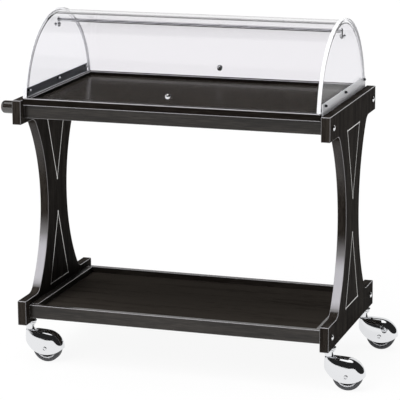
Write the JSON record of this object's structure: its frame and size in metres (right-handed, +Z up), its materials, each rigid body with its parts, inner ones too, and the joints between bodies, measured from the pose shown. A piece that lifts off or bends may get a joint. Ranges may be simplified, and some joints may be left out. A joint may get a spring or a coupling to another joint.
{
  "type": "dessert trolley",
  "caption": "Wooden dessert trolley with waisted end panels, a tray under a clear roll-top dome, a lower shelf, push grips and swivel casters under metal hoods.",
  "frame": {"origin": "on the floor, under the middle of the bounding box with the casters trailing to +X", "axes": "+X along the trolley away from the push grips, -Y towards the front cover, +Z up"},
  "size_m": [1.162, 0.56, 1.0879],
  "materials": {
    "black_wood": "black-brown stain under satin lacquer, fine long grain",
    "inlay_metal": "bright metal strip let in flush with the wood",
    "strip_metal": "satin metal bar",
    "chrome": "polished chrome plate",
    "clear_acrylic": "clear cast acrylic with polished edges",
    "grey_plastic": "moulded light grey plastic",
    "tyre": "dark grey rubber"
  },
  "bodies": {
    "frame": {"left_end_panel": "black_wood", "right_end_panel": "black_wood", "left_panel_inlays": "inlay_metal", "right_panel_inlays": "inlay_metal", "upper_front_rail": "black_wood", "upper_back_rail": "black_wood", "tray_front_rim": "black_wood", "tray_back_rim": "black_wood", "tray_left_rim": "black_wood", "tray_right_rim": "black_wood", "tray_board": "black_wood", "lower_front_rail": "black_wood", "lower_back_rail": "black_wood", "lower_left_rail": "black_wood", "lower_right_rail": "black_wood", "shelf_board": "black_wood", "frame_bolts": "chrome", "front_grip": "black_wood", "back_grip": "black_wood", "left_dome_end": "clear_acrylic", "right_dome_end": "clear_acrylic", "left_dome_strip": "strip_metal", "right_dome_strip": "strip_metal", "strip_bolts": "chrome", "tie_bar": "chrome", "left_tie_bracket": "chrome", "right_tie_bracket": "chrome", "tie_bolts": "chrome", "front_left_stem": "chrome", "front_right_stem": "chrome", "back_left_stem": "chrome", "back_right_stem": "chrome"},
    "front_cover_body": {"front_cover": "clear_acrylic", "front_cover_knob": "chrome", "front_knob_screw": "chrome"},
    "back_cover_body": {"back_cover": "clear_acrylic", "back_cover_knob": "chrome", "back_knob_screw": "chrome"},
    "front_left_swivel": {"front_left_bearing": "chrome", "front_left_hood": "chrome", "front_left_axle": "chrome"},
    "front_left_roller": {"front_left_wheel": "grey_plastic", "front_left_tyre": "tyre"},
    "front_right_swivel": {"front_right_bearing": "chrome", "front_right_hood": "chrome", "front_right_axle": "chrome"},
    "front_right_roller": {"front_right_wheel": "grey_plastic", "front_right_tyre": "tyre"},
    "back_left_swivel": {"back_left_bearing": "chrome", "back_left_hood": "chrome", "back_left_axle": "chrome"},
    "back_left_roller": {"back_left_wheel": "grey_plastic", "back_left_tyre": "tyre"},
    "back_right_swivel": {"back_right_bearing": "chrome", "back_right_hood": "chrome", "back_right_axle": "chrome"},
    "back_right_roller": {"back_right_wheel": "grey_plastic", "back_right_tyre": "tyre"}
  },
  "joints": [
    {"name": "front_cover_roll", "type": "hinge", "parent": "frame", "child": "front_cover_body", "pos_m": [-0.019, 0, 0.818], "axis": [-1, 0, 0], "range_deg": [0, 78]},
    {"name": "back_cover_roll", "type": "hinge", "parent": "frame", "child": "back_cover_body", "pos_m": [-0.019, 0, 0.818], "axis": [1, 0, 0], "range_deg": [0, 71]},
    {"name": "front_left_swivel_turn", "type": "hinge", "parent": "frame", "child": "front_left_swivel", "pos_m": [-0.505, -0.216, 0.1], "axis": [0, 0, 1], "continuous": true},
    {"name": "front_left_wheel_spin", "type": "hinge", "parent": "front_left_swivel", "child": "front_left_roller", "pos_m": [-0.447, -0.216, 0.046], "axis": [0, 1, 0], "continuous": true},
    {"name": "front_right_swivel_turn", "type": "hinge", "parent": "frame", "child": "front_right_swivel", "pos_m": [0.467, -0.216, 0.1], "axis": [0, 0, 1], "continuous": true},
    {"name": "front_right_wheel_spin", "type": "hinge", "parent": "front_right_swivel", "child": "front_right_roller", "pos_m": [0.525, -0.216, 0.046], "axis": [0, 1, 0], "continuous": true},
    {"name": "back_left_swivel_turn", "type": "hinge", "parent": "frame", "child": "back_left_swivel", "pos_m": [-0.505, 0.216, 0.1], "axis": [0, 0, 1], "continuous": true},
    {"name": "back_left_wheel_spin", "type": "hinge", "parent": "back_left_swivel", "child": "back_left_roller", "pos_m": [-0.447, 0.216, 0.046], "axis": [0, 1, 0], "continuous": true},
    {"name": "back_right_swivel_turn", "type": "hinge", "parent": "frame", "child": "back_right_swivel", "pos_m": [0.467, 0.216, 0.1], "axis": [0, 0, 1], "continuous": true},
    {"name": "back_right_wheel_spin", "type": "hinge", "parent": "back_right_swivel", "child": "back_right_roller", "pos_m": [0.525, 0.216, 0.046], "axis": [0, 1, 0], "continuous": true}
  ]
}
